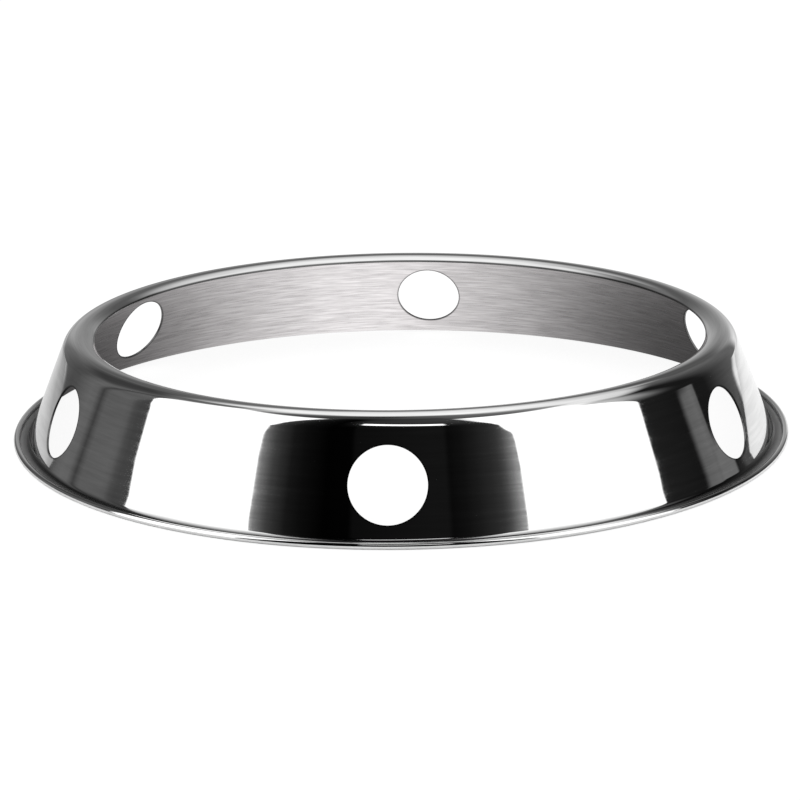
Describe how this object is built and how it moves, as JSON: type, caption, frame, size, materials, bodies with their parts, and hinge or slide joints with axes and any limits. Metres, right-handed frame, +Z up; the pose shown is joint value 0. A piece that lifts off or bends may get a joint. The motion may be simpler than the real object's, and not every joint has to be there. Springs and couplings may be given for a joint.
{
  "type": "wok ring",
  "caption": "Low flared sheet-metal ring that holds a round-bottomed wok over a hob, with a rolled rim, a flanged foot with a curled edge, and round vents.",
  "frame": {"origin": "on the ring's axis, in the plane that the foot stands on", "axes": "+Z up along the ring's axis, from the wide foot to the narrow rim; -Y is the front, next to the first vent"},
  "size_m": [0.248, 0.248, 0.0334],
  "materials": {
    "stainless_steel": "mirror polished outside, fine circular brushing inside"
  },
  "bodies": {
    "root": {"wok_ring": "stainless_steel"}
  },
  "joints": []
}
